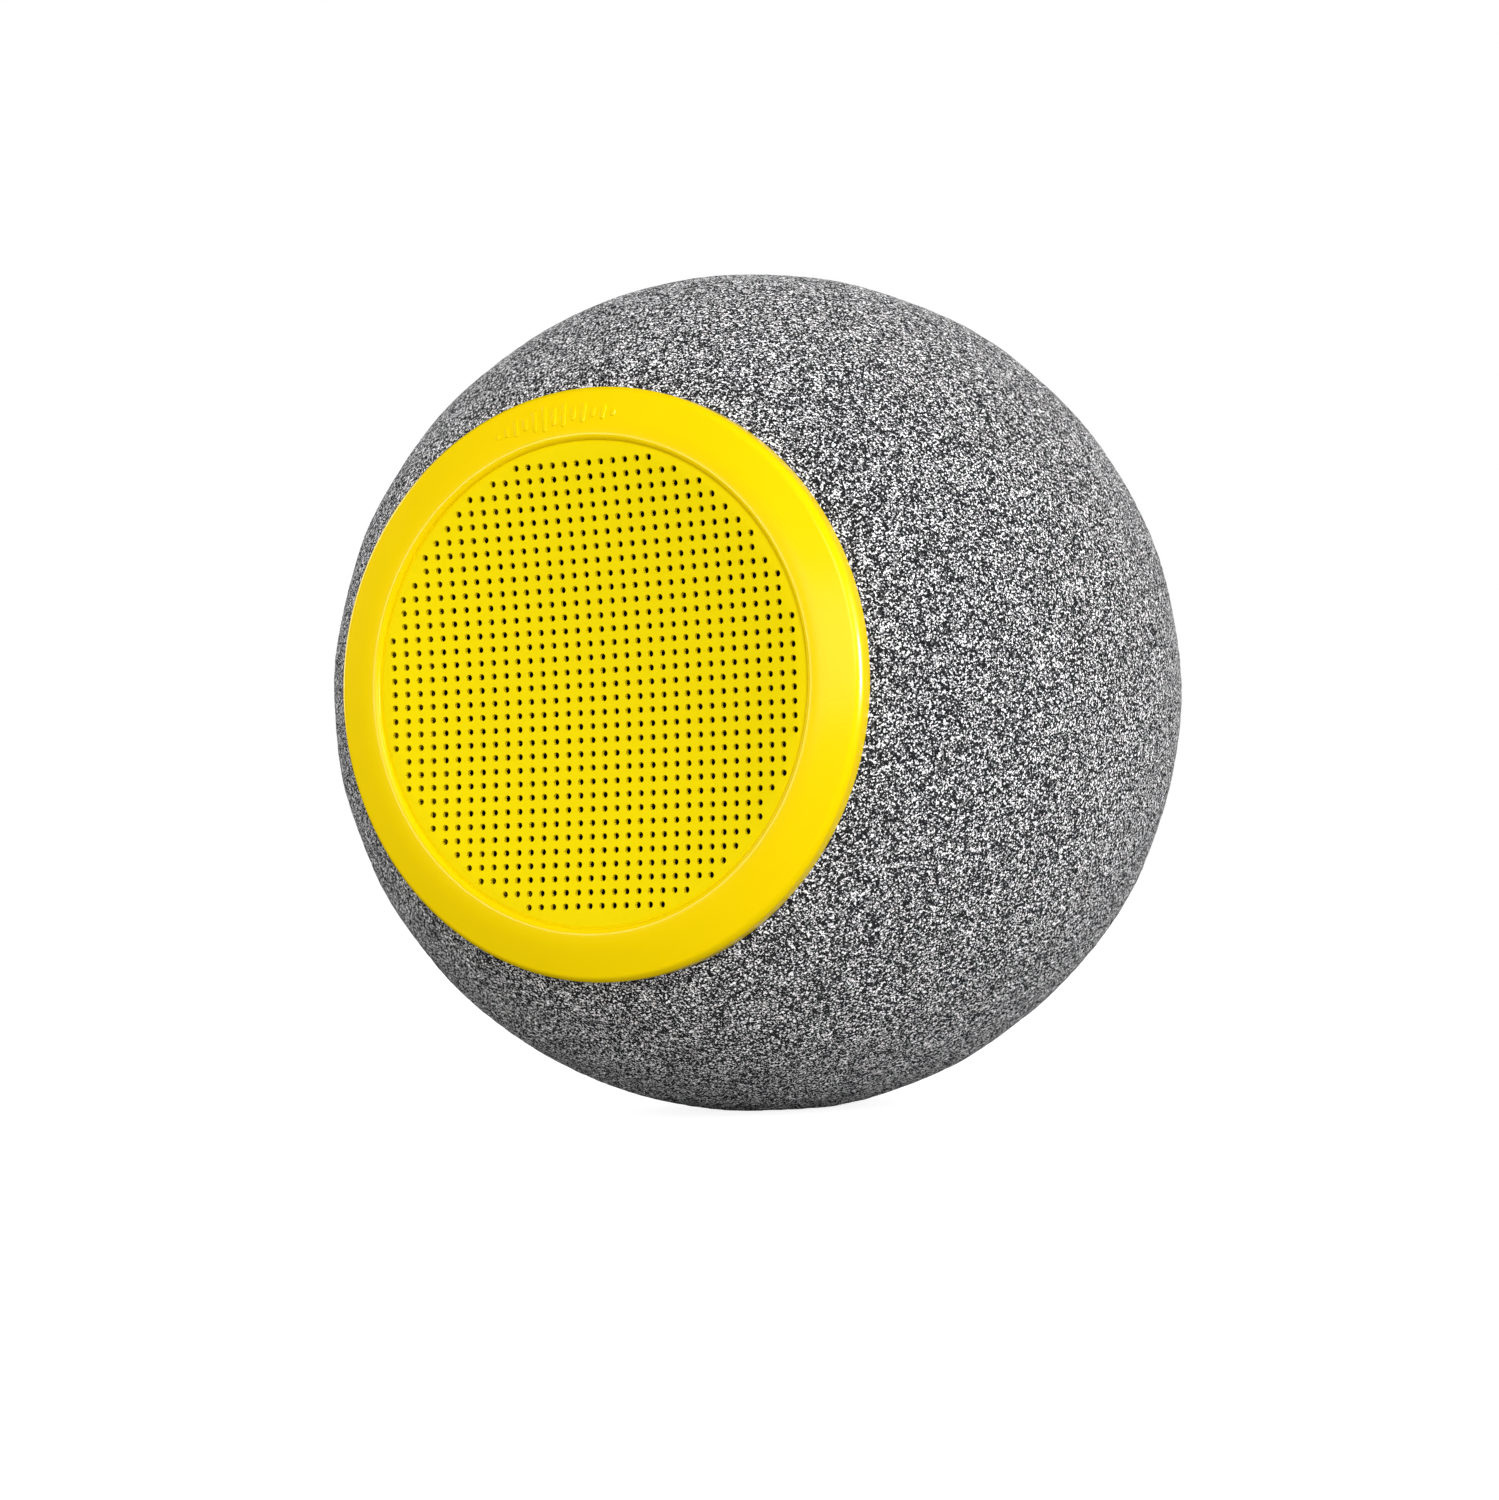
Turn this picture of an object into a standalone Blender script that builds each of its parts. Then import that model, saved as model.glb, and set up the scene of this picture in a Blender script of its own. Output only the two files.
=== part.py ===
"""Foam microphone isolation ball with a pull-out pop filter.

Frame: metres, +Z up. The origin is the centre of the small flat on which the foam ball rests, straight
below the ball's centre. The pop filter faces -Y and pulls out along -Y. The microphone goes in along the
hole that opens at -X. Every turned piece is drawn about +Z and then turned to its own axis, so a profile
is a list of (radius, height) points, where height is the distance from the ball's centre.
"""

import math

import bpy

# Foam ball
BALL_RADIUS = 0.0995  # across X and Y
BALL_RADIUS_UP = 0.0985  # along Z: soft foam settles a little under its own weight
REST_RADIUS = 0.0140  # the flat that the foam's weight presses at the bottom
BORE_RADIUS = 0.0572  # front bore, which grips the filter's collar
BORE_FLOOR = 0.0527  # the shoulder that the collar stops against
MOUTH_RADIUS = 0.0620  # the bore's mouth, which the flange's underside presses to a cone
MOUTH_OUTER_HEIGHT = 0.0779
MOUTH_INNER_HEIGHT = 0.0797
CHAMBER_RADIUS = 0.0500  # room for the microphone's head
CHAMBER_BACK = -0.0340  # the chamber's rear wall, behind the microphone
CHAMBER_FILLET = 0.0120
MIC_HOLE_RADIUS = 0.0200  # relaxed; the foam stretches over a 45 to 65 mm microphone

# Pop filter, heights measured outwards from the ball's centre
DISH_CENTRE = 0.0773  # front face of the perforated screen at its centre
DISH_SAG = 0.0042  # how far the centre lies behind the screen's rim
DISH_RADIUS = 0.0510
SCREEN_RADIUS = 0.0537
SCREEN_THICK = 0.0015
LIP_HEIGHT = 0.0827  # crest of the lip round the screen
LIP_RADIUS = 0.0542
BEAD_RADIUS = 0.00125  # the lip's round inner side, which overhangs the screen's rim
FLANGE_ARC_RADIUS = 0.0160  # the flange's crown next to the lip, seen in section
FLANGE_SLOPES = (2.0, 17.0)  # degrees from level at the lip and on the conical face outside the crown
CONE_WIDTH = 0.0048  # radial width of that face
ROLL_RADIUS = 0.0022  # the flange's rolled outer edge
WALL = 0.0024  # moulded wall of the flange
COLLAR_OUTER = 0.0569
COLLAR_INNER = 0.0540
COLLAR_REAR = 0.0531
POCKET_RADIUS = 0.0549  # rear pocket that holds the nylon mesh and its ring
POCKET_FLOOR = 0.0567
MESH_RADIUS = 0.0546
MESH_THICK = 0.0006
RING_INNER = 0.0520
RING_THICK = 0.0022
GAP = 0.0003  # clearance between neighbouring pieces

# Fineness of the turned shapes
BALL_STEPS = 64
BALL_ARC_POINTS = 30
FILTER_STEPS = 64
HOLE_STEPS = 48
WELD = 0.00001

# Turns that take +Z to the filter's axis and to the microphone hole's axis
TO_FRONT = (math.radians(90), 0.0, 0.0)
TO_LEFT = (0.0, math.radians(-90), 0.0)
UPRIGHT = (0.0, 0.0, 0.0)

CENTRE_HEIGHT = BALL_RADIUS_UP * math.sqrt(1 - (REST_RADIUS / BALL_RADIUS) ** 2)
CENTRE = (0.0, 0.0, CENTRE_HEIGHT)


def clear_scene():
    for item in list(bpy.data.objects):
        bpy.data.objects.remove(item)


def collection(name):
    made = bpy.data.collections.new(name)
    bpy.context.scene.collection.children.link(made)
    return made


def material(name, colour, roughness, metallic=0.0):
    made = bpy.data.materials.new(name)
    made.use_nodes = True
    shader = made.node_tree.nodes["Principled BSDF"]
    shader.inputs["Base Color"].default_value = (*colour, 1.0)
    shader.inputs["Roughness"].default_value = roughness
    shader.inputs["Metallic"].default_value = metallic
    return made


def turned(name, profile, steps, home, place=CENTRE, turn=TO_FRONT, closed=False):
    """A solid of revolution: the profile runs down its outer side, and a closed one comes back up inside."""
    mesh = bpy.data.meshes.new(name)
    edges = [(i, i + 1) for i in range(len(profile) - 1)]
    if closed:
        edges.append((len(profile) - 1, 0))
    mesh.from_pydata([(radius, 0.0, height) for radius, height in profile], edges, [])
    item = bpy.data.objects.new(name, mesh)
    home.objects.link(item)
    item.location = place
    item.rotation_euler = turn
    screw = item.modifiers.new("turn", "SCREW")
    screw.steps = steps
    screw.render_steps = steps
    screw.use_merge_vertices = True
    screw.merge_threshold = WELD
    screw.use_smooth_shade = True
    return item


def cut(item, cutter):
    cutter.hide_render = True
    cutter.display_type = "WIRE"
    boolean = item.modifiers.new("cut_" + cutter.name, "BOOLEAN")
    boolean.operation = "DIFFERENCE"
    boolean.solver = "EXACT"
    boolean.object = cutter


def arc(centre, radius, start, end, points):
    """Points on a circle in section, from one angle to another, in degrees from the radial direction."""
    angles = [math.radians(start + (end - start) * i / (points - 1)) for i in range(points)]
    return [(centre[0] + radius * math.cos(a), centre[1] + radius * math.sin(a)) for a in angles]


def ball_height(radius):
    """Height of the ball's surface over a point at this radius from the filter's axis."""
    return math.sqrt(BALL_RADIUS**2 - radius**2)


def dish_height(radius):
    """Height of the screen's front face: a shallow dish with a flat rim."""
    return DISH_CENTRE + DISH_SAG * min(radius / DISH_RADIUS, 1.0) ** 2


def foam_ball(home, cutters):
    """The ball, with the filter's bore and the microphone's chamber at the front and its hole at the side."""
    lowest = math.degrees(math.acos(REST_RADIUS / BALL_RADIUS))
    outline = []
    for i in range(BALL_ARC_POINTS + 1):
        angle = math.radians(90 - (90 + lowest) * i / BALL_ARC_POINTS)
        outline.append((BALL_RADIUS * math.cos(angle), BALL_RADIUS_UP * math.sin(angle)))
    outline[0] = (0.0, BALL_RADIUS_UP)
    outline[-1] = (REST_RADIUS, -CENTRE_HEIGHT)
    outline.append((0.0, -CENTRE_HEIGHT))
    ball = turned("foam_ball", outline, BALL_STEPS, home, turn=UPRIGHT)

    corner = (CHAMBER_RADIUS - CHAMBER_FILLET, CHAMBER_BACK + CHAMBER_FILLET)
    chamber = [
        (0.0, BALL_RADIUS * 1.1),
        (MOUTH_RADIUS, BALL_RADIUS * 1.1),
        (MOUTH_RADIUS, MOUTH_OUTER_HEIGHT),
        (BORE_RADIUS, MOUTH_INNER_HEIGHT),
        (BORE_RADIUS, BORE_FLOOR),
        (CHAMBER_RADIUS, BORE_FLOOR),
        *arc(corner, CHAMBER_FILLET, 0, -90, 5),
        (0.0, CHAMBER_BACK),
    ]
    cut(ball, turned("chamber_cutter", chamber, BALL_STEPS, cutters))
    hole = [
        (0.0, BALL_RADIUS * 1.1),
        (MIC_HOLE_RADIUS, BALL_RADIUS * 1.1),
        (MIC_HOLE_RADIUS, CHAMBER_RADIUS * 0.5),
        (0.0, CHAMBER_RADIUS * 0.5),
    ]
    cut(ball, turned("mic_hole_cutter", hole, HOLE_STEPS, cutters, turn=TO_LEFT))
    return ball


def filter_bezel(home):
    """One moulding: the crowned flange, the lip round the screen, and the collar that plugs into the foam."""
    near, far = FLANGE_SLOPES
    crown = (
        LIP_RADIUS - FLANGE_ARC_RADIUS * math.sin(math.radians(near)),
        LIP_HEIGHT - FLANGE_ARC_RADIUS * math.cos(math.radians(near)),
    )
    face = arc(crown, FLANGE_ARC_RADIUS, 90 - near, 90 - far, 5)
    cone_edge = (face[-1][0] + CONE_WIDTH, face[-1][1] - CONE_WIDTH * math.tan(math.radians(far)))
    roll_centre = (
        cone_edge[0] - ROLL_RADIUS * math.sin(math.radians(far)),
        cone_edge[1] - ROLL_RADIUS * math.cos(math.radians(far)),
    )
    roll = arc(roll_centre, ROLL_RADIUS, 90 - far, 0, 5)
    rim_outer = roll[-1][0]
    rim_inner = rim_outer - WALL
    under_cone = cone_edge[1] - WALL
    under_lip = LIP_HEIGHT - WALL
    seat_under = dish_height(DISH_RADIUS) + GAP
    bead_centre = (
        LIP_RADIUS - BEAD_RADIUS * math.sin(math.radians(near)),
        LIP_HEIGHT - BEAD_RADIUS * math.cos(math.radians(near)),
    )
    foot = 180 - math.degrees(math.asin((seat_under - bead_centre[1]) / BEAD_RADIUS))
    bead = arc(bead_centre, BEAD_RADIUS, foot, 90 - near, 6)[:-1]
    profile = [
        *face,
        *roll,
        (rim_outer, ball_height(rim_outer) + GAP),
        (rim_inner, ball_height(rim_inner) + GAP),
        (rim_inner, under_cone),
        (COLLAR_OUTER, under_lip),
        (COLLAR_OUTER, COLLAR_REAR + GAP),
        (COLLAR_OUTER - GAP, COLLAR_REAR),
        (POCKET_RADIUS, COLLAR_REAR),
        (POCKET_RADIUS, POCKET_FLOOR),
        (COLLAR_INNER, POCKET_FLOOR),
        (COLLAR_INNER, seat_under),
        *bead,
    ]
    return turned("filter_bezel", profile, FILTER_STEPS, home, closed=True)


def filter_screen(home):
    """The dished screen inside the lip, as a plain plate without its perforations."""
    radii = [DISH_RADIUS * i / 6 for i in range(7)] + [SCREEN_RADIUS]
    front = [(r, dish_height(r)) for r in radii]
    back = [(r, height - SCREEN_THICK) for r, height in reversed(front)]
    return turned("filter_screen", front + back, FILTER_STEPS, home)


def filter_mesh(home):
    """The nylon mesh stretched across the rear of the collar."""
    front = POCKET_FLOOR - GAP
    back = front - MESH_THICK
    profile = [(0.0, front), (MESH_RADIUS, front), (MESH_RADIUS, back), (0.0, back)]
    return turned("filter_mesh", profile, FILTER_STEPS, home)


def mesh_retaining_ring(home):
    """The ring that holds the nylon mesh in the collar's rear pocket."""
    front = POCKET_FLOOR - GAP - MESH_THICK - GAP
    back = front - RING_THICK
    profile = [(RING_INNER, front), (MESH_RADIUS, front), (MESH_RADIUS, back), (RING_INNER, back)]
    return turned("mesh_retaining_ring", profile, FILTER_STEPS, home, closed=True)


def build():
    clear_scene()
    ball_parts = collection("microphone_isolation_ball")
    cutters = collection("cutters")
    foam = foam_ball(ball_parts, cutters)
    foam.data.materials.append(material("speckled_foam", (0.25, 0.25, 0.26), 0.95))

    pull = bpy.data.objects.new("filter_pull_axis", None)
    pull.location = CENTRE
    ball_parts.objects.link(pull)
    finishes = {
        filter_bezel: material("yellow_moulding", (0.91, 0.67, 0.002), 0.32),
        filter_screen: material("yellow_screen", (0.86, 0.68, 0.002), 0.45),
        filter_mesh: material("black_nylon", (0.012, 0.012, 0.012), 0.8),
        mesh_retaining_ring: material("black_moulding", (0.015, 0.015, 0.015), 0.5),
    }
    for make, finish in finishes.items():
        piece = make(ball_parts)
        piece.data.materials.append(finish)
        piece.parent = pull
        piece.location = (0.0, 0.0, 0.0)


build()
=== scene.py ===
"""Looks of the microphone isolation ball: speckled foam, and a yellow pop filter with a perforated screen.

Metres, +Z up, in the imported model's frame: the ball rests at the origin, the filter faces -Y, and the
microphone hole opens at -X. Turned pieces are drawn as (radius, height) sections, where height is measured
from the ball's centre outwards along the filter's axis.
"""

import math

import bmesh
import bpy
import numpy as np
from mathutils import Matrix, Vector
from mathutils.geometry import delaunay_2d_cdt


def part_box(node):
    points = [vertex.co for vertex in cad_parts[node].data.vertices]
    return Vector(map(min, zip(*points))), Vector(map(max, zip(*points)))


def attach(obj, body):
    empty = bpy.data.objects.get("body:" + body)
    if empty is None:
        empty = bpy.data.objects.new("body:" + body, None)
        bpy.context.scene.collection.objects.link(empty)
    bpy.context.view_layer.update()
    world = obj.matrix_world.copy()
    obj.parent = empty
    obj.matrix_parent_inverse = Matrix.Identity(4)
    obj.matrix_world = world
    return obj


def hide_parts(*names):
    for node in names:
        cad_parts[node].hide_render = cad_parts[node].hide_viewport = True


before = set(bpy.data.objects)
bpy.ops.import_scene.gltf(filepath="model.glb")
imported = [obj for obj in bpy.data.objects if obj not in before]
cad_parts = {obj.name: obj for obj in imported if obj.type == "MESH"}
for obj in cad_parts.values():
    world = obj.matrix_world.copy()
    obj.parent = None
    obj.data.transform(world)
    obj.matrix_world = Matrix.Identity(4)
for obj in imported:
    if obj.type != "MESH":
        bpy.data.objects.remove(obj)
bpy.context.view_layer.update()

MM = 0.001

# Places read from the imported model
_, FOAM_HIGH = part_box("foam_ball")
BEZEL_LOW, BEZEL_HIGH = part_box("filter_bezel")
SCREEN_LOW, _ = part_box("filter_screen")
MESH_LOW, MESH_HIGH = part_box("filter_mesh")
RING_LOW, RING_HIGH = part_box("mesh_retaining_ring")
CENTRE_Z = (BEZEL_LOW.z + BEZEL_HIGH.z) / 2
BALL_RADIUS = FOAM_HIGH.y
BALL_RADIUS_UP = FOAM_HIGH.z - CENTRE_Z

# Foam ball
BORE_RADIUS = 57.2 * MM
BORE_FLOOR = 52.7 * MM
MOUTH_RADIUS = 62.0 * MM
MOUTH_HEIGHTS = (77.9 * MM, 79.7 * MM)  # at its outer and inner edge
CHAMBER_RADIUS = 50.0 * MM
CHAMBER_BACK = -34.0 * MM
CHAMBER_FILLET = 12.0 * MM
MIC_HOLE_RADIUS = 20.0 * MM
BALL_STEPS = 192  # fineness of the ball and its cutters, before the even mesh
BALL_ROWS = 96
CHAMBER_STEPS = 128
MIC_HOLE_STEPS = 96
FOAM_VOXEL = 1.55 * MM
FOAM_SOFTENING = 6  # passes that round the edges of its holes
SKIN_INNER = 0.985  # share of the ball's radius where its outer skin starts
SKIN_BLEND = 0.010
FOAM_GRAIN = 0.08 * MM  # height of the foam's fine unevenness
FOAM_GRAIN_SIZE = 4 * MM
FOAM_SWELL = 0.20 * MM  # height of its broad unevenness
FOAM_SWELL_SIZE = 30 * MM
FINE_GRAINS = 3600.0  # flecks per metre
COARSE_GRAINS = 2200.0
COARSE_SHARE = 0.3  # the part of the surface where the coarse flecks show
CLUMPS = 260.0  # patches per metre in which the flecks are a little paler or darker
CLUMP_SHIFT = 0.08

# Pop filter
LIP_HEIGHT = -BEZEL_LOW.y
LIP_RADIUS = 54.2 * MM
BEAD_RADIUS = 1.25 * MM  # the lip's round inner side, in section
LEDGE_RADIUS = 52.9 * MM  # how far in the lip reaches over the screen's rim
CROWN_RADIUS = 16.0 * MM
FLANGE_SLOPES = (2.0, 17.0)  # degrees from level at the lip and on the conical face
CONE_WIDTH = 4.8 * MM
ROLL_RADIUS = 2.2 * MM
BEVEL_SLOPES = (52.0, 62.0)  # degrees from level where the roll flattens to a narrow bevel
BEVEL_WIDTH = 0.9 * MM
BEVEL_EASE = 0.5 * MM  # how much tighter the roll is beside it
FLANGE_WALL = 2.4 * MM
COLLAR_OUTER = 56.9 * MM
COLLAR_INNER = 54.0 * MM
POCKET_RADIUS = 54.9 * MM
POCKET_FLOOR = 56.7 * MM
SCREEN_THICK = 1.0 * MM
DISH_RADIUS = 51.0 * MM
DISH_SAG = 4.2 * MM
GROOVE_START = 52.2 * MM  # where the screen dips to the groove along the lip
GROOVE_DEPTH = 0.15 * MM
GROOVE_RINGS = 6
LIP_CLEARANCE = 0.04 * MM  # between the lip and the screen's rim
HOLE_PITCH = 3.0 * MM
HOLE_RADIUS = 0.72 * MM
HOLE_CHAMFER = 0.05 * MM
HOLE_SIDES = 16
HOLE_FIELD = 17.03  # the grid's holes lie within this many pitches of the centre
HOLE_ROWS = 16  # and within this many rows of it
HOLE_COLUMNS = 17  # on each side of the middle
GAUZE_THICK = 0.3 * MM
GAUZE_INSET = 0.1 * MM  # how far the gauze lies inside its solid
GAUZE_RINGS = 24
GAUZE_STEPS = 96
RETAINER_INNER = 52.0 * MM
TURN_STEPS = 192

# Relief on the flange: a plain row of sound-level bars at the top
BAR_LENGTHS = (1.6, 2.6, 4.2, 3.0, 5.2, 6.2, 4.4, 5.6, 3.4, 4.6, 2.4, 3.4, 1.8)  # mm
BAR_WIDTH = 1.2 * MM
BAR_SPACING = 2.45 * MM
BAR_ROW_RADIUS = 58.9 * MM
BAR_ROW_ANGLE = 96.0  # degrees round the filter from +X
# Each bar's rounded flank: how far in from its outline, and how high over the flange
BAR_LEVELS = ((0.0, -0.08 * MM), (0.06 * MM, 0.16 * MM), (0.16 * MM, 0.25 * MM), (0.28 * MM, 0.28 * MM))

# Colours of the mouldings
FLANGE_YELLOW = (0.93, 0.66, 0.0)
SCREEN_YELLOW = (0.885, 0.69, 0.0)
BLACK = (0.015, 0.015, 0.015)

# Camera: almost level with the ball, to the filter's right; angles in degrees, lens and sensor in mm
CAMERA_AZIMUTH = 26.87
CAMERA_ELEVATION = -1.67
CAMERA_ROLL = -1.83
CAMERA_DISTANCE = 837.0 * MM
CAMERA_AIM = (-2.45 * MM, -0.36 * MM, 84.3 * MM)
CAMERA_LENS = 84.8
SENSOR_WIDTH = 36.0

# Softboxes: name, azimuth and elevation in degrees (azimuth 0 is in front of the filter, 90 on its right),
# distance and size in metres, power in watts
SOFTBOXES = (
    ("key_softbox", 38.0, 17.0, 1.7, (0.9, 0.9), 16.0),
    ("front_softbox", 12.0, 6.0, 1.7, (1.3, 0.5), 6.8),
    ("side_softbox", 88.0, 8.0, 1.7, (0.7, 1.0), 14.0),
    ("rear_softbox", 120.0, 20.0, 1.7, (0.9, 0.9), 2.1),
    ("left_softbox", -95.0, 15.0, 1.8, (0.9, 0.9), 14.0),
    ("back_softbox", 200.0, 18.0, 1.8, (0.9, 0.9), 9.0),
)
# Small lights that only glint in the moulding: on the flange's bevel and along the lip's crest
GLINTS = (
    ("bevel_glint", 88.0, 2.5, 1.5, (0.14, 0.44), 45.0),
    ("lip_glint", -27.0, 3.0, 1.7, (0.35, 0.35), 6.0),
)

# Backdrop, fill and floor
WHITE = (1.0, 1.0, 1.0, 1.0)
AMBIENT = 0.43  # strength of the even fill
FLOOR_SHADE = 0.4
FLOOR_GLOW = 0.88  # seen by the camera only
FLOOR_HALF = 6.0
FLOOR_LEVEL = -0.2 * MM


# ---------------------------------------------------------------- meshes


def add_object(name, data):
    item = bpy.data.objects.new(name, data)
    bpy.context.scene.collection.objects.link(item)
    return item


def mesh_from(name, points, faces):
    mesh = bpy.data.meshes.new(name)
    mesh.from_pydata([tuple(p) for p in points], [], [tuple(f) for f in faces])
    shape = bmesh.new()
    shape.from_mesh(mesh)
    bmesh.ops.recalc_face_normals(shape, faces=shape.faces)
    shape.to_mesh(mesh)
    shape.free()
    return mesh


def shade(item, angle):
    item.data.shade_smooth()
    item.data.set_sharp_from_angle(angle=math.radians(angle))


def to_frame(radius, height, turn):
    """A point of a turned section in the model's frame."""
    return (radius * math.cos(turn), -height, CENTRE_Z + radius * math.sin(turn))


def arc(centre, radius, start, end, points):
    """Points on a circle in section, between two angles in degrees from the radial direction."""
    angles = [math.radians(start + (end - start) * i / (points - 1)) for i in range(points)]
    return [(centre[0] + radius * math.cos(a), centre[1] + radius * math.sin(a)) for a in angles]


def fillet(before, corner, after, radius, points=5):
    """The corner of a section, rounded to a radius."""
    here = Vector(corner)
    to_before = (Vector(before) - here).normalized()
    to_after = (Vector(after) - here).normalized()
    half = to_before.angle(to_after) / 2
    reach = radius / math.tan(half)
    middle = here + (to_before + to_after).normalized() * (radius / math.sin(half))
    first = here + to_before * reach - middle
    last = here + to_after * reach - middle
    blend = [first.slerp(last, i / (points - 1), first) for i in range(points)]
    return [tuple(middle + step.normalized() * radius) for step in blend]


def section(corners):
    """A closed section from (radius, height, rounding) corners."""
    outline = []
    for i, (radius, height, rounding) in enumerate(corners):
        if rounding:
            before = corners[i - 1][:2]
            after = corners[(i + 1) % len(corners)][:2]
            outline += fillet(before, (radius, height), after, rounding)
        else:
            outline.append((radius, height))
    return outline


def turned_ring(name, outline, steps=TURN_STEPS):
    """A closed section turned about the filter's axis."""
    turns = [2 * math.pi * i / steps for i in range(steps)]
    points = [to_frame(r, h, t) for t in turns for r, h in outline]
    n = len(outline)
    faces = []
    for i in range(steps):
        here, there = i * n, (i + 1) % steps * n
        for j in range(n):
            k = (j + 1) % n
            faces.append((here + j, here + k, there + k, there + j))
    return add_object(name, mesh_from(name, points, faces))


def turned_plug(name, outline, steps, to_world):
    """A section from the axis to the axis, turned into a closed solid, for cutting."""
    inner = outline[1:-1]
    turns = [2 * math.pi * i / steps for i in range(steps)]
    points = [to_world(r, h, t) for t in turns for r, h in inner]
    top, bottom = len(points), len(points) + 1
    points += [to_world(*outline[0], 0.0), to_world(*outline[-1], 0.0)]
    n = len(inner)
    faces = []
    for i in range(steps):
        here, there = i * n, (i + 1) % steps * n
        faces.append((top, here, there))
        faces.append((bottom, there + n - 1, here + n - 1))
        for j in range(n - 1):
            faces.append((here + j, here + j + 1, there + j + 1, there + j))
    return add_object(name, mesh_from(name, points, faces))


def applied(item):
    """The object's mesh with its modifiers applied, in place of the old one."""
    evaluated = item.evaluated_get(bpy.context.evaluated_depsgraph_get())
    mesh = bpy.data.meshes.new_from_object(evaluated)
    item.modifiers.clear()
    item.data = mesh
    return item


def get_points(mesh):
    flat = np.empty(len(mesh.vertices) * 3, np.float32)
    mesh.vertices.foreach_get("co", flat)
    return flat.reshape(-1, 3).astype(float)


def set_points(mesh, points):
    mesh.vertices.foreach_set("co", points.astype(np.float32).ravel())
    mesh.update()


def waves(points, size, count, seed):
    """Smooth bumps of about this size: a sum of plane waves in random directions, from -1 to 1."""
    draw = np.random.default_rng(seed)
    total = np.zeros(len(points))
    for _ in range(count):
        direction = draw.normal(size=3)
        direction *= 2 * math.pi / size * draw.uniform(0.7, 1.3) / np.linalg.norm(direction)
        total += np.sin(points @ direction + draw.uniform(0, 2 * math.pi))
    return np.clip(total / math.sqrt(count), -1, 1)


# ---------------------------------------------------------------- materials


def new_material(name):
    made = bpy.data.materials.new(name)
    made.use_nodes = True
    tree = made.node_tree
    return made, tree, tree.nodes["Principled BSDF"]


def add_node(tree, kind, **settings):
    node = tree.nodes.new(kind)
    for key, value in settings.items():
        if key in node.inputs:
            node.inputs[key].default_value = value
        else:
            setattr(node, key, value)
    return node


def object_coordinates(tree):
    return add_node(tree, "ShaderNodeTexCoord").outputs["Object"]


def ramp(tree, source, stops):
    node = tree.nodes.new("ShaderNodeValToRGB")
    elements = node.color_ramp.elements
    while len(elements) < len(stops):
        elements.new(0.5)
    for element, (place, colour) in zip(elements, stops):
        element.position = place
        element.color = (*colour, 1.0)
    tree.links.new(source, node.inputs["Fac"])
    return node.outputs["Color"]


def grey(value):
    return (value, value, value)


def foam_material():
    """Charcoal open-cell foam flecked with white: one random shade for each grain of about 0.3 mm.

    A fixed share of the grains are coarser, about 0.45 mm, where flecks of the foam run together.
    """
    made, tree, shader = new_material("speckled_foam")
    link = tree.links.new
    place = object_coordinates(tree)
    shades = []
    for scale in (FINE_GRAINS, COARSE_GRAINS):
        grains = add_node(tree, "ShaderNodeTexVoronoi", Scale=scale, Randomness=1.0)
        link(place, grains.inputs["Vector"])
        shade_of = add_node(tree, "ShaderNodeSeparateColor")
        link(grains.outputs["Color"], shade_of.inputs["Color"])
        shades.append(shade_of)
    chosen = add_node(tree, "ShaderNodeMath", operation="LESS_THAN")
    link(shades[1].outputs["Green"], chosen.inputs[0])
    chosen.inputs[1].default_value = COARSE_SHARE
    grain = add_node(tree, "ShaderNodeMix", data_type="FLOAT")
    link(chosen.outputs[0], grain.inputs["Factor"])
    link(shades[0].outputs["Red"], grain.inputs["A"])
    link(shades[1].outputs["Red"], grain.inputs["B"])
    clumps = add_node(tree, "ShaderNodeTexNoise", Scale=CLUMPS, Detail=3.0, Roughness=0.6)
    link(place, clumps.inputs["Vector"])
    drift = add_node(tree, "ShaderNodeMath", operation="MULTIPLY_ADD")
    link(clumps.outputs["Fac"], drift.inputs[0])
    drift.inputs[1].default_value = 2 * CLUMP_SHIFT
    drift.inputs[2].default_value = -CLUMP_SHIFT
    mixed = add_node(tree, "ShaderNodeMath", operation="ADD")
    link(grain.outputs["Result"], mixed.inputs[0])
    link(drift.outputs[0], mixed.inputs[1])
    stops = [
        (0.0, (0.008, 0.008, 0.009)),
        (0.56, (0.018, 0.018, 0.020)),
        (0.69, (0.100, 0.100, 0.105)),
        (0.79, (0.60, 0.60, 0.615)),
        (0.88, (0.95, 0.95, 0.955)),
    ]
    link(ramp(tree, mixed.outputs[0], stops), shader.inputs["Base Color"])
    bump = add_node(tree, "ShaderNodeBump", Strength=0.5, Distance=0.0002)
    link(mixed.outputs[0], bump.inputs["Height"])
    link(bump.outputs["Normal"], shader.inputs["Normal"])
    shader.inputs["Roughness"].default_value = 1.0
    shader.inputs["Diffuse Roughness"].default_value = 1.0
    shader.inputs["Specular IOR Level"].default_value = 0.1
    return made


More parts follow.
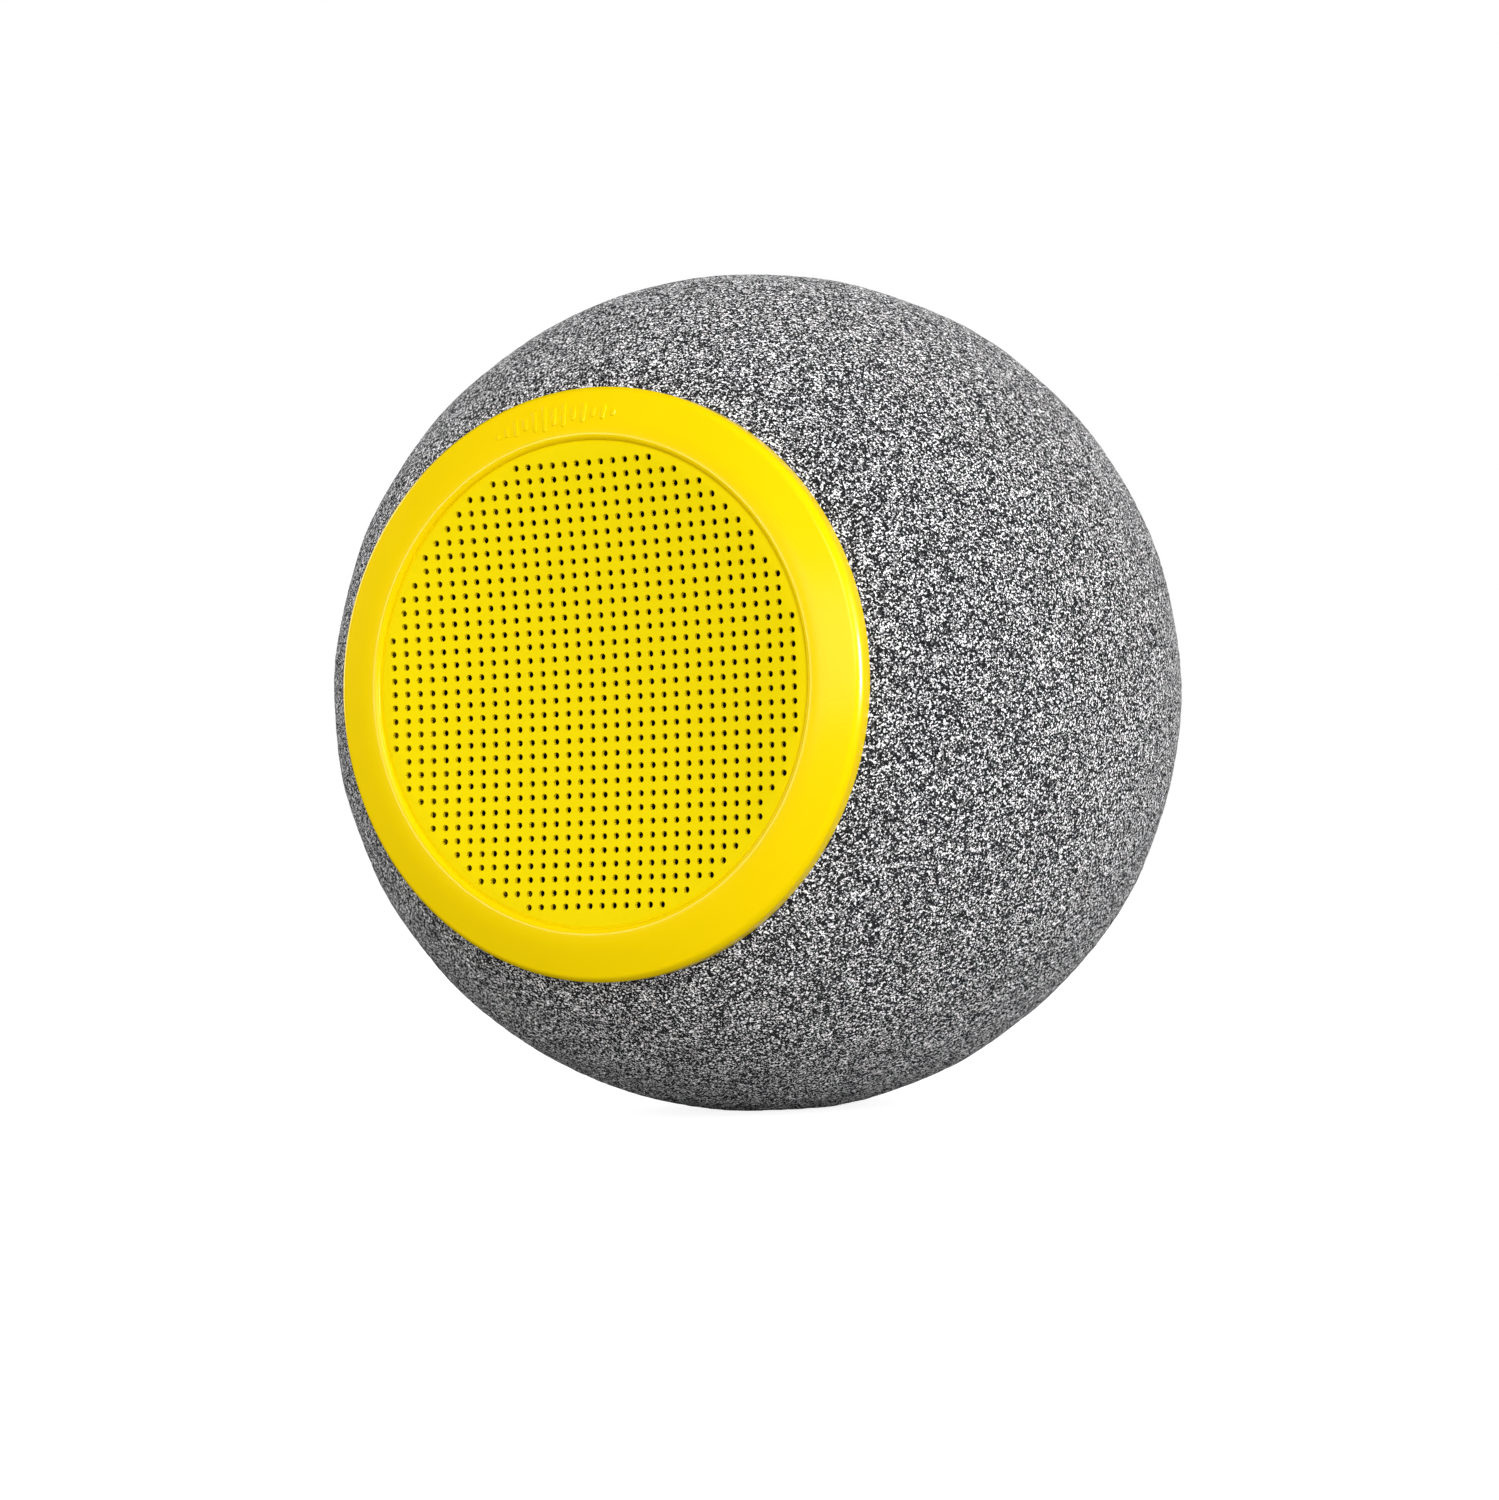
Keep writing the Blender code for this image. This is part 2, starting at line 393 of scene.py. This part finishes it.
def moulded_plastic(name, colour, roughness, specular):
    """Satin moulded plastic: faint orange peel, and roughness that drifts a little over the surface."""
    made, tree, shader = new_material(name)
    link = tree.links.new
    place = object_coordinates(tree)
    broad = add_node(tree, "ShaderNodeTexNoise", Scale=22.0, Detail=4.0, Roughness=0.55)
    link(place, broad.inputs["Vector"])
    darker = tuple(c * 0.96 for c in colour)
    link(ramp(tree, broad.outputs["Fac"], [(0.3, darker), (0.7, colour)]), shader.inputs["Base Color"])
    spread = add_node(tree, "ShaderNodeMapRange")
    spread.inputs["To Min"].default_value = roughness - 0.03
    spread.inputs["To Max"].default_value = roughness + 0.04
    link(broad.outputs["Fac"], spread.inputs["Value"])
    link(spread.outputs["Result"], shader.inputs["Roughness"])
    peel = add_node(tree, "ShaderNodeTexNoise", Scale=900.0, Detail=2.0)
    link(place, peel.inputs["Vector"])
    bump = add_node(tree, "ShaderNodeBump", Strength=0.06, Distance=0.0001)
    link(peel.outputs["Fac"], bump.inputs["Height"])
    link(bump.outputs["Normal"], shader.inputs["Normal"])
    shader.inputs["Specular IOR Level"].default_value = specular
    return made


def nylon_material():
    """Black nylon gauze: two sets of threads, woven about 1 mm apart."""
    made, tree, shader = new_material("black_nylon_gauze")
    link = tree.links.new
    place = object_coordinates(tree)
    heights = []
    for direction in ("X", "Z"):
        threads = add_node(tree, "ShaderNodeTexWave", Scale=320.0, bands_direction=direction)
        link(place, threads.inputs["Vector"])
        heights.append(threads.outputs["Fac"])
    weave = add_node(tree, "ShaderNodeMath", operation="MAXIMUM")
    link(heights[0], weave.inputs[0])
    link(heights[1], weave.inputs[1])
    colours = [(0.25, grey(0.002)), (0.9, grey(0.016))]
    link(ramp(tree, weave.outputs[0], colours), shader.inputs["Base Color"])
    bump = add_node(tree, "ShaderNodeBump", Strength=0.7, Distance=0.0002)
    link(weave.outputs[0], bump.inputs["Height"])
    link(bump.outputs["Normal"], shader.inputs["Normal"])
    shader.inputs["Roughness"].default_value = 0.75
    shader.inputs["Specular IOR Level"].default_value = 0.2
    return made


# ---------------------------------------------------------------- pieces


def about_upright(radius, height, turn):
    """A point of a section that is turned about the ball's upright axis."""
    return (radius * math.cos(turn), radius * math.sin(turn), CENTRE_Z + height)


def about_mic_hole(radius, height, turn):
    """A point of a section that is turned about the microphone hole's axis."""
    return (-height, radius * math.cos(turn), CENTRE_Z + radius * math.sin(turn))


def ball_outline():
    outline = [(0.0, BALL_RADIUS_UP)]
    for i in range(1, BALL_ROWS):
        angle = math.radians(90 - 180 * i / BALL_ROWS)
        outline.append((BALL_RADIUS * math.cos(angle), BALL_RADIUS_UP * math.sin(angle)))
    outline.append((0.0, -BALL_RADIUS_UP))
    return outline


def foam_cutters():
    """The filter's bore with the chamber behind it, and the microphone hole."""
    outside = BALL_RADIUS * 1.2
    hole_end = CHAMBER_RADIUS * 0.5
    corner = (CHAMBER_RADIUS - CHAMBER_FILLET, CHAMBER_BACK + CHAMBER_FILLET)
    chamber = [
        (0.0, outside),
        (MOUTH_RADIUS, outside),
        (MOUTH_RADIUS, MOUTH_HEIGHTS[0]),
        (BORE_RADIUS, MOUTH_HEIGHTS[1]),
        (BORE_RADIUS, BORE_FLOOR),
        (CHAMBER_RADIUS, BORE_FLOOR),
        *arc(corner, CHAMBER_FILLET, 0, -90, 10),
        (0.0, CHAMBER_BACK),
    ]
    hole = [(0.0, outside), (MIC_HOLE_RADIUS, outside), (MIC_HOLE_RADIUS, hole_end), (0.0, hole_end)]
    return (
        turned_plug("chamber_cutter", chamber, CHAMBER_STEPS, to_frame),
        turned_plug("mic_hole_cutter", hole, MIC_HOLE_STEPS, about_mic_hole),
    )


def foam_blank():
    """The ball with its holes cut, as an even fine mesh with softened edges."""
    foam = turned_plug("foam_ball_soft", ball_outline(), BALL_STEPS, about_upright)
    cutters = foam_cutters()
    for cutter in cutters:
        boolean = foam.modifiers.new(cutter.name, "BOOLEAN")
        boolean.operation = "DIFFERENCE"
        boolean.object = cutter
    remesh = foam.modifiers.new("even_mesh", "REMESH")
    remesh.mode = "VOXEL"
    remesh.voxel_size = FOAM_VOXEL
    soften = foam.modifiers.new("soft_edges", "SMOOTH")
    soften.factor = 0.5
    soften.iterations = FOAM_SOFTENING
    applied(foam)
    for cutter in cutters:
        bpy.data.objects.remove(cutter)
    return foam


def finish_skin(mesh):
    """Puts the outer skin back on the true ball, makes it uneven, and presses it flat on the floor."""
    points = get_points(mesh)
    middle = np.array([0.0, 0.0, CENTRE_Z])
    axes = np.array([BALL_RADIUS, BALL_RADIUS, BALL_RADIUS_UP])
    reach = np.linalg.norm((points - middle) / axes, axis=1)
    share = np.clip((reach - SKIN_INNER) / SKIN_BLEND, 0, 1)[:, None]
    on_ball = middle + (points - middle) / reach[:, None]
    points = points + share * (on_ball - points)
    outward = (points - middle) / np.linalg.norm(points - middle, axis=1)[:, None]
    height = FOAM_GRAIN * waves(points, FOAM_GRAIN_SIZE, count=24, seed=5)
    height = height + FOAM_SWELL * waves(points, FOAM_SWELL_SIZE, count=16, seed=6)
    points += share * outward * height[:, None]
    points[:, 2] = np.maximum(points[:, 2], 0.0)
    set_points(mesh, points)


def make_foam():
    """The foam ball, with soft edges round its holes and the unevenness of real foam."""
    foam = foam_blank()
    finish_skin(foam.data)
    foam.data.materials.clear()
    foam.data.materials.append(foam_material())
    foam.data.shade_smooth()
    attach(foam, "foam")
    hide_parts("foam_ball")


def dish_height(radius):
    """Height of the screen's front face: a shallow dish whose rim dips to a groove along the lip."""
    dish = -SCREEN_LOW.y - DISH_SAG * (1 - np.minimum(radius / DISH_RADIUS, 1.0) ** 2)
    dip = np.clip((radius - GROOVE_START) / (LEDGE_RADIUS - GROOVE_START), 0.0, 1.0)
    return dish - GROOVE_DEPTH * dip**2 * (3 - 2 * dip)


def ball_height(radius):
    """Height of the ball's surface over a point at this radius from the filter's axis."""
    return math.sqrt(BALL_RADIUS**2 - radius**2)


def flange_face():
    """The flange's front in section, from the lip's crest to the start of its rolled edge."""
    near, far = FLANGE_SLOPES
    crown = (
        LIP_RADIUS - CROWN_RADIUS * math.sin(math.radians(near)),
        LIP_HEIGHT - CROWN_RADIUS * math.cos(math.radians(near)),
    )
    face = arc(crown, CROWN_RADIUS, 90 - near, 90 - far, 12)
    drop = CONE_WIDTH * math.tan(math.radians(far))
    face.append((face[-1][0] + CONE_WIDTH, face[-1][1] - drop))
    return face


def face_height(radius):
    """Height of the flange's front over this radius."""
    face = flange_face()
    return float(np.interp(radius, [p[0] for p in face], [p[1] for p in face]))


def rolled_edge(start):
    """The flange's rolled edge in section: a tight roll, a narrow bevel that is almost flat, and a roll."""
    first, last = BEVEL_SLOPES
    bevel_radius = BEVEL_WIDTH / math.radians(last - first)
    steps = (
        (ROLL_RADIUS - BEVEL_EASE, FLANGE_SLOPES[1], first, 8),
        (bevel_radius, first, last, 6),
        (ROLL_RADIUS - BEVEL_EASE, last, 90.0, 8),
    )
    outline = [start]
    for radius, near, far, points in steps:
        x, y = outline[-1]
        centre = (x - radius * math.sin(math.radians(near)), y - radius * math.cos(math.radians(near)))
        outline += arc(centre, radius, 90 - near, 90 - far, points)[1:]
    return outline[1:]


def bezel_section():
    """The whole moulding in section: down the flange and its roll, round the collar, and up to the lip."""
    face = flange_face()
    roll = rolled_edge(face[-1])
    rim_outer = roll[-1][0]
    rim_inner = rim_outer - FLANGE_WALL
    ledge = float(dish_height(LEDGE_RADIUS)) + LIP_CLEARANCE
    near = math.radians(FLANGE_SLOPES[0])
    bead_centre = (LIP_RADIUS - BEAD_RADIUS * math.sin(near), LIP_HEIGHT - BEAD_RADIUS * math.cos(near))
    foot = 180 - math.degrees(math.asin((ledge - bead_centre[1]) / BEAD_RADIUS))
    bead = arc(bead_centre, BEAD_RADIUS, foot, 90 - FLANGE_SLOPES[0], 16)
    corners = [
        *[(*p, 0.0) for p in face[1:] + roll],
        (rim_outer, ball_height(rim_outer) - 0.2 * MM, 0.2 * MM),
        (rim_inner, ball_height(rim_inner) + 0.3 * MM, 0.3 * MM),
        (rim_inner, face[-1][1] - FLANGE_WALL, 0.3 * MM),
        (COLLAR_OUTER, LIP_HEIGHT - FLANGE_WALL, 0.5 * MM),
        (COLLAR_OUTER, -BEZEL_HIGH.y, 0.6 * MM),
        (POCKET_RADIUS, -BEZEL_HIGH.y, 0.3 * MM),
        (POCKET_RADIUS, POCKET_FLOOR, 0.1 * MM),
        (COLLAR_INNER, POCKET_FLOOR, 0.1 * MM),
        (COLLAR_INNER, ledge, 0.1 * MM),
        *[(*p, 0.0) for p in bead],
    ]
    return section(corners)


def make_bezel(finish):
    """The flange, the lip and the collar, as one moulding."""
    bezel = turned_ring("filter_bezel_moulding", bezel_section())
    bezel.data.materials.append(finish)
    shade(bezel, 35)
    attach(bezel, "filter")
    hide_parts("filter_bezel")


def stadium(width, length, inset, points=7):
    """Outline of an upright bar with round ends, drawn in by a margin: (across, along) points."""
    radius = width / 2 - inset
    reach = length / 2 - width / 2
    outline = []
    for end, first in ((reach, 0.0), (-reach, 180.0)):
        for i in range(points):
            angle = math.radians(first + 180.0 * i / (points - 1))
            outline.append((radius * math.cos(angle), end + radius * math.sin(angle)))
    return outline


def make_level_bars(finish):
    """The raised row of bars on the flange, each a low rounded relief that follows its crown."""
    points, faces = [], []
    for i, length in enumerate(BAR_LENGTHS):
        away = (i - (len(BAR_LENGTHS) - 1) / 2) * BAR_SPACING / BAR_ROW_RADIUS
        middle = math.radians(BAR_ROW_ANGLE) - away
        for inset, lift in BAR_LEVELS:
            outline = stadium(BAR_WIDTH, length * MM, inset)
            for across, along in outline:
                radius = BAR_ROW_RADIUS + along
                turn = middle + across / BAR_ROW_RADIUS
                points.append(to_frame(radius, face_height(radius) + lift, turn))
        n = len(outline)
        first = len(points) - n * len(BAR_LEVELS)
        for level in range(len(BAR_LEVELS) - 1):
            low, high = first + level * n, first + (level + 1) * n
            faces += [(low + k, low + (k + 1) % n, high + (k + 1) % n, high + k) for k in range(n)]
        faces.append(tuple(range(first, first + n)))
        faces.append(tuple(range(len(points) - n, len(points))))
    bars = add_object("filter_level_bars", mesh_from("filter_level_bars", points, faces))
    bars.data.materials.append(finish)
    shade(bars, 50)
    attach(bars, "filter")


def circle(radius, sides, centre=(0.0, 0.0), start=0.0):
    turns = [start + 2 * math.pi * i / sides for i in range(sides)]
    return [Vector((centre[0] + radius * math.cos(t), centre[1] + radius * math.sin(t))) for t in turns]


def hole_centres():
    """The screen's square grid: columns half a pitch off the middle, rows on it, inside a circle."""
    centres = []
    for row in range(-HOLE_ROWS, HOLE_ROWS + 1):
        for column in range(-HOLE_COLUMNS, HOLE_COLUMNS):
            across = column + 0.5
            if math.hypot(across, row) <= HOLE_FIELD:
                centres.append((across * HOLE_PITCH, row * HOLE_PITCH))
    return centres


def screen_plan(centres):
    """The screen seen from the front: its points, its edges, and how many points come before the holes'."""
    span = LEDGE_RADIUS - GROOVE_START
    radii = [GROOVE_START + i * span / (GROOVE_RINGS - 1) for i in range(GROOVE_RINGS)]
    loops = [circle(radius, TURN_STEPS) for radius in (-SCREEN_LOW.x, *radii)]
    before_holes = len(loops) * TURN_STEPS
    loops += [circle(HOLE_RADIUS + HOLE_CHAMFER, HOLE_SIDES, centre) for centre in centres]
    flat, edges = [], []
    for loop in loops:
        first, n = len(flat), len(loop)
        flat += loop
        edges += [(first + i, first + (i + 1) % n) for i in range(n)]
    return flat, edges, before_holes


def screen_triangles(flat, edges):
    """The triangles between the plan's edges, without the ones that would cover a hole."""
    in_millimetres = [p / MM for p in flat]
    _, _, triangles, origins, *_ = delaunay_2d_cdt(in_millimetres, edges, [], 0, 1e-5)
    first_origin = np.array([origin[0] for origin in origins])
    triangles = first_origin[np.array(triangles)]
    middles = np.array([tuple(p) for p in flat])[triangles].mean(axis=1)
    column = np.round(middles[:, 0] / HOLE_PITCH - 0.5) + 0.5
    row = np.round(middles[:, 1] / HOLE_PITCH)
    nearest = np.stack([column, row], axis=1)
    rim = (HOLE_RADIUS + HOLE_CHAMFER) * math.cos(math.pi / HOLE_SIDES)
    inside = np.linalg.norm(middles - nearest * HOLE_PITCH, axis=1) < rim
    inside &= (np.linalg.norm(nearest, axis=1) <= HOLE_FIELD) & (np.abs(row) <= HOLE_ROWS)
    return triangles[~inside]


def screen_layer(flat, centres, before_holes, depth, shrink):
    """The plan's points on the dish, this far behind its face, with the holes' rims drawn in."""
    spread = np.array([tuple(p) for p in flat])
    offset = spread[before_holes:] - np.repeat(np.array(centres), HOLE_SIDES, axis=0)
    spread[before_holes:] -= offset * (shrink / (HOLE_RADIUS + HOLE_CHAMFER))
    height = dish_height(np.hypot(spread[:, 0], spread[:, 1])) - depth
    return np.stack([spread[:, 0], -height, CENTRE_Z + spread[:, 1]], axis=1)


def make_screen(finish):
    """The dished screen with its round holes, each with a fine chamfer at the front."""
    centres = hole_centres()
    flat, edges, before_holes = screen_plan(centres)
    triangles = screen_triangles(flat, edges)
    depths = ((0.0, 0.0), (HOLE_CHAMFER, HOLE_CHAMFER), (SCREEN_THICK, HOLE_CHAMFER))
    layers = [screen_layer(flat, centres, before_holes, depth, shrink) for depth, shrink in depths]
    count = len(flat)
    front = [tuple(t) for t in triangles]
    back = [(a + 2 * count, c + 2 * count, b + 2 * count) for a, b, c in triangles]
    walls = []
    for i in range(TURN_STEPS):
        j = (i + 1) % TURN_STEPS
        walls.append((i, j, j + 2 * count, i + 2 * count))
    for first in range(before_holes, count, HOLE_SIDES):
        for i in range(HOLE_SIDES):
            a, b = first + i, first + (i + 1) % HOLE_SIDES
            walls.append((a, b, b + count, a + count))
            walls.append((a + count, b + count, b + 2 * count, a + 2 * count))
    mesh = bpy.data.meshes.new("filter_screen_perforated")
    mesh.from_pydata([tuple(p) for p in np.concatenate(layers)], [], front + back + walls)
    shape = bmesh.new()
    shape.from_mesh(mesh)
    loose = [v for v in shape.verts if not v.link_faces]
    bmesh.ops.delete(shape, geom=loose, context="VERTS")
    bmesh.ops.recalc_face_normals(shape, faces=shape.faces)
    shape.to_mesh(mesh)
    shape.free()
    screen = add_object("filter_screen_perforated", mesh)
    screen.data.materials.append(finish)
    shade(screen, 30)
    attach(screen, "filter")
    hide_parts("filter_screen")


def make_gauze():
    """The nylon mesh: a thin flat disc, stretched across the collar's rear."""
    radius = MESH_HIGH.x - GAUZE_INSET
    front = -MESH_LOW.y - GAUZE_INSET
    turns = [2 * math.pi * k / GAUZE_STEPS for k in range(GAUZE_STEPS)]
    points, faces = [], []
    for height in (front, front - GAUZE_THICK):
        base = len(points)
        points.append(to_frame(0.0, height, 0.0))
        for i in range(1, GAUZE_RINGS + 1):
            points += [to_frame(radius * i / GAUZE_RINGS, height, turn) for turn in turns]
        for k in range(GAUZE_STEPS):
            n = (k + 1) % GAUZE_STEPS
            faces.append((base, base + 1 + k, base + 1 + n))
            for i in range(GAUZE_RINGS - 1):
                a, b = base + 1 + i * GAUZE_STEPS, base + 1 + (i + 1) * GAUZE_STEPS
                faces.append((a + k, b + k, b + n, a + n))
    rim = (GAUZE_RINGS - 1) * GAUZE_STEPS + 1
    other = len(points) // 2
    for k in range(GAUZE_STEPS):
        n = (k + 1) % GAUZE_STEPS
        faces.append((rim + k, rim + n, other + rim + n, other + rim + k))
    gauze = add_object("filter_mesh_gauze", mesh_from("filter_mesh_gauze", points, faces))
    gauze.data.materials.append(nylon_material())
    shade(gauze, 35)
    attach(gauze, "filter")
    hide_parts("filter_mesh")


def make_retaining_ring(finish):
    """The ring behind the nylon mesh, with rounded edges."""
    outer = RING_HIGH.x
    front, back = -RING_LOW.y, -RING_HIGH.y
    corners = [
        (RETAINER_INNER, front, 0.3 * MM),
        (outer, front, 0.2 * MM),
        (outer, back, 0.5 * MM),
        (RETAINER_INNER, back, 0.5 * MM),
    ]
    ring = turned_ring("mesh_ring_moulding", section(corners))
    ring.data.materials.append(finish)
    shade(ring, 35)
    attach(ring, "filter")
    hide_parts("mesh_retaining_ring")


# ---------------------------------------------------------------- studio


def direction(azimuth, elevation):
    """The unit vector to an azimuth and elevation in degrees; azimuth 0 is in front of the filter."""
    turn, rise = math.radians(azimuth), math.radians(elevation)
    return Vector((math.sin(turn) * math.cos(rise), -math.cos(turn) * math.cos(rise), math.sin(rise)))


def by_ray(tree, for_camera, for_others, output):
    """Shows one shader to the camera's rays and another to all others."""
    link = tree.links.new
    paths = tree.nodes.new("ShaderNodeLightPath")
    mix = tree.nodes.new("ShaderNodeMixShader")
    link(paths.outputs["Is Camera Ray"], mix.inputs["Fac"])
    link(for_others.outputs[0], mix.inputs[1])
    link(for_camera.outputs[0], mix.inputs[2])
    link(mix.outputs[0], tree.nodes[output].inputs["Surface"])


def floor_material():
    """Matt grey, with a glow that only the camera sees, which lifts the floor to white."""
    made, tree, shader = new_material("pale_floor")
    shader.inputs["Base Color"].default_value = (*grey(FLOOR_SHADE), 1.0)
    shader.inputs["Roughness"].default_value = 1.0
    shader.inputs["Specular IOR Level"].default_value = 0.0
    glow = add_node(tree, "ShaderNodeEmission", Color=WHITE, Strength=FLOOR_GLOW)
    both = tree.nodes.new("ShaderNodeAddShader")
    tree.links.new(shader.outputs[0], both.inputs[0])
    tree.links.new(glow.outputs[0], both.inputs[1])
    by_ray(tree, both, shader, "Material Output")
    return made


def make_floor():
    """A plain pale floor, on which only a faint contact shadow shows."""
    corners = ((-1, -1), (1, -1), (1, 1), (-1, 1))
    points = [(x * FLOOR_HALF, y * FLOOR_HALF, FLOOR_LEVEL) for x, y in corners]
    mesh = bpy.data.meshes.new("floor")
    mesh.from_pydata(points, [], [(0, 1, 2, 3)])
    mesh.materials.append(floor_material())
    floor = add_object("floor", mesh)
    floor.visible_glossy = False


def area_light(name, azimuth, elevation, distance, size, power):
    """A rectangular light that faces the ball's centre."""
    data = bpy.data.lights.new(name, "AREA")
    data.energy = power
    data.shape = "RECTANGLE"
    data.size, data.size_y = size
    lamp = add_object(name, data)
    centre = Vector((0.0, 0.0, CENTRE_Z))
    place = centre + direction(azimuth, elevation) * distance
    lamp.location = place
    lamp.rotation_euler = (centre - place).to_track_quat("-Z", "Y").to_euler()
    return lamp


def make_lights():
    for softbox in SOFTBOXES:
        area_light(*softbox)
    for glint in GLINTS:
        area_light(*glint).visible_diffuse = False


def make_world():
    """A white backdrop for the camera, and for everything else an even fill that no surface mirrors."""
    world = bpy.data.worlds.new("studio")
    world.cycles_visibility.glossy = False
    bpy.context.scene.world = world
    world.use_nodes = True
    tree = world.node_tree
    backdrop = tree.nodes["Background"]
    backdrop.inputs["Color"].default_value = WHITE
    backdrop.inputs["Strength"].default_value = 1.0
    ambient = add_node(tree, "ShaderNodeBackground", Color=WHITE, Strength=AMBIENT)
    by_ray(tree, backdrop, ambient, "World Output")


def make_camera():
    data = bpy.data.cameras.new("camera")
    data.lens = CAMERA_LENS
    data.sensor_width = SENSOR_WIDTH
    camera = add_object("camera", data)
    back = direction(CAMERA_AZIMUTH, CAMERA_ELEVATION)
    level = (-back).to_track_quat("-Z", "Y").to_matrix().to_4x4()
    roll = Matrix.Rotation(math.radians(CAMERA_ROLL), 4, "Z")
    place = Matrix.Translation(Vector(CAMERA_AIM) + back * CAMERA_DISTANCE)
    camera.matrix_world = place @ level @ roll
    bpy.context.scene.camera = camera


bpy.context.scene.view_settings.view_transform = "Standard"
make_camera()
make_foam()
flange_finish = moulded_plastic("yellow_moulding_satin", FLANGE_YELLOW, roughness=0.18, specular=0.14)
make_bezel(flange_finish)
make_level_bars(flange_finish)
make_screen(moulded_plastic("yellow_screen_satin", SCREEN_YELLOW, roughness=0.45, specular=0.02))
make_gauze()
make_retaining_ring(moulded_plastic("black_moulding_matte", BLACK, roughness=0.5, specular=0.3))
make_floor()
make_lights()
make_world()
